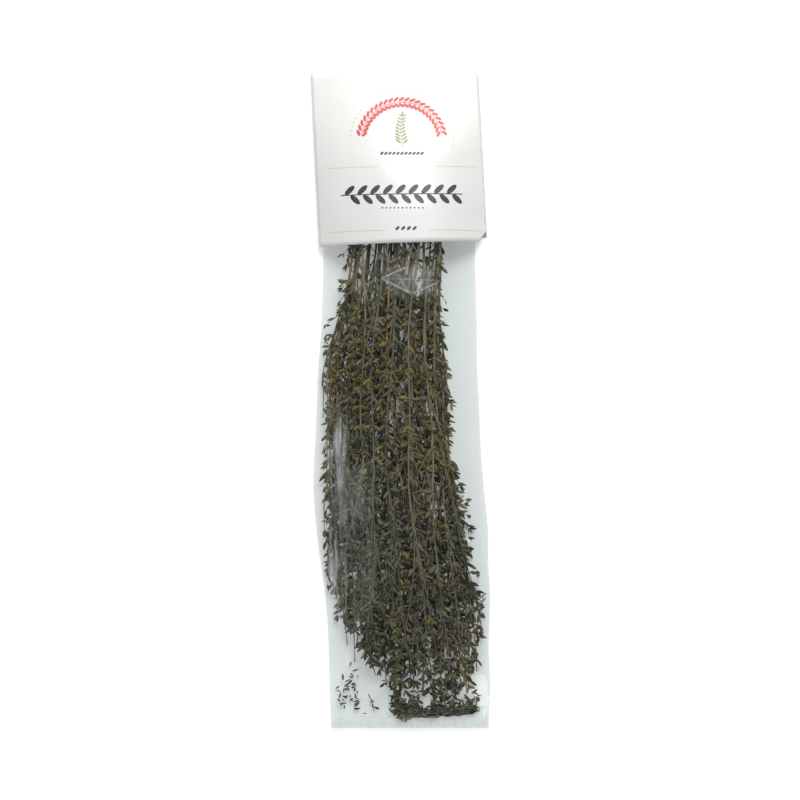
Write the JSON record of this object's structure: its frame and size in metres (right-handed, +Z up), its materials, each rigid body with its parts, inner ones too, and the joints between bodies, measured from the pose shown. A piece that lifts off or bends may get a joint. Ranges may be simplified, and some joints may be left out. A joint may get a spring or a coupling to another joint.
{
  "type": "packet of dried thyme sprigs",
  "caption": "Long dried thyme sprigs lying side by side in a clear film bag, cut ends under a folded white header card, leafy tips and fallen leaves at the sealed end.",
  "frame": {"origin": "on the surface the packet lies on, under the middle of its outline", "axes": "+Y runs along the packet from its sealed end to the header card, +X to the right of a viewer who looks down on its front with the card at the top, +Z up out of the front"},
  "size_m": [0.1076, 0.395, 0.0299],
  "materials": {
    "clear_film": "clear, thin and glossy",
    "coated_card": "white, coated, half gloss",
    "thyme_grey_green": "dried leaf, grey green, matt",
    "thyme_olive": "dried leaf, olive, matt",
    "thyme_brown": "dried woody stem, brown, matt"
  },
  "bodies": {
    "root": {"bag": "clear_film", "header_card": "coated_card", "sprig_01": "thyme_olive", "sprig_02": "thyme_brown", "sprig_03": "thyme_grey_green", "sprig_04": "thyme_olive", "sprig_05": "thyme_brown", "sprig_06": "thyme_grey_green", "sprig_07": "thyme_olive", "sprig_08": "thyme_brown", "sprig_09": "thyme_grey_green", "sprig_10": "thyme_olive", "sprig_11": "thyme_brown", "sprig_12": "thyme_grey_green", "sprig_13": "thyme_olive", "sprig_14": "thyme_brown", "sprig_15": "thyme_grey_green", "sprig_16": "thyme_olive", "sprig_17": "thyme_brown", "sprig_18": "thyme_grey_green", "sprig_19": "thyme_olive", "sprig_20": "thyme_brown", "sprig_21": "thyme_grey_green", "sprig_22": "thyme_olive", "sprig_23": "thyme_brown", "sprig_24": "thyme_grey_green", "sprig_25": "thyme_olive", "sprig_26": "thyme_brown", "sprig_27": "thyme_grey_green", "sprig_28": "thyme_olive", "sprig_29": "thyme_brown", "sprig_30": "thyme_grey_green", "sprig_31": "thyme_olive", "sprig_32": "thyme_brown", "sprig_33": "thyme_grey_green", "sprig_34": "thyme_olive", "sprig_35": "thyme_brown", "sprig_36": "thyme_grey_green", "sprig_37": "thyme_olive", "sprig_38": "thyme_brown", "fallen_leaf_bed": "thyme_grey_green", "fallen_tip": "thyme_grey_green", "loose_leaf_1": "thyme_grey_green", "loose_leaf_2": "thyme_grey_green", "loose_leaf_3": "thyme_grey_green", "loose_leaf_4": "thyme_grey_green", "loose_leaf_5": "thyme_grey_green", "loose_leaf_6": "thyme_grey_green", "loose_leaf_7": "thyme_grey_green", "loose_leaf_8": "thyme_grey_green", "loose_leaf_9": "thyme_grey_green"}
  },
  "joints": []
}
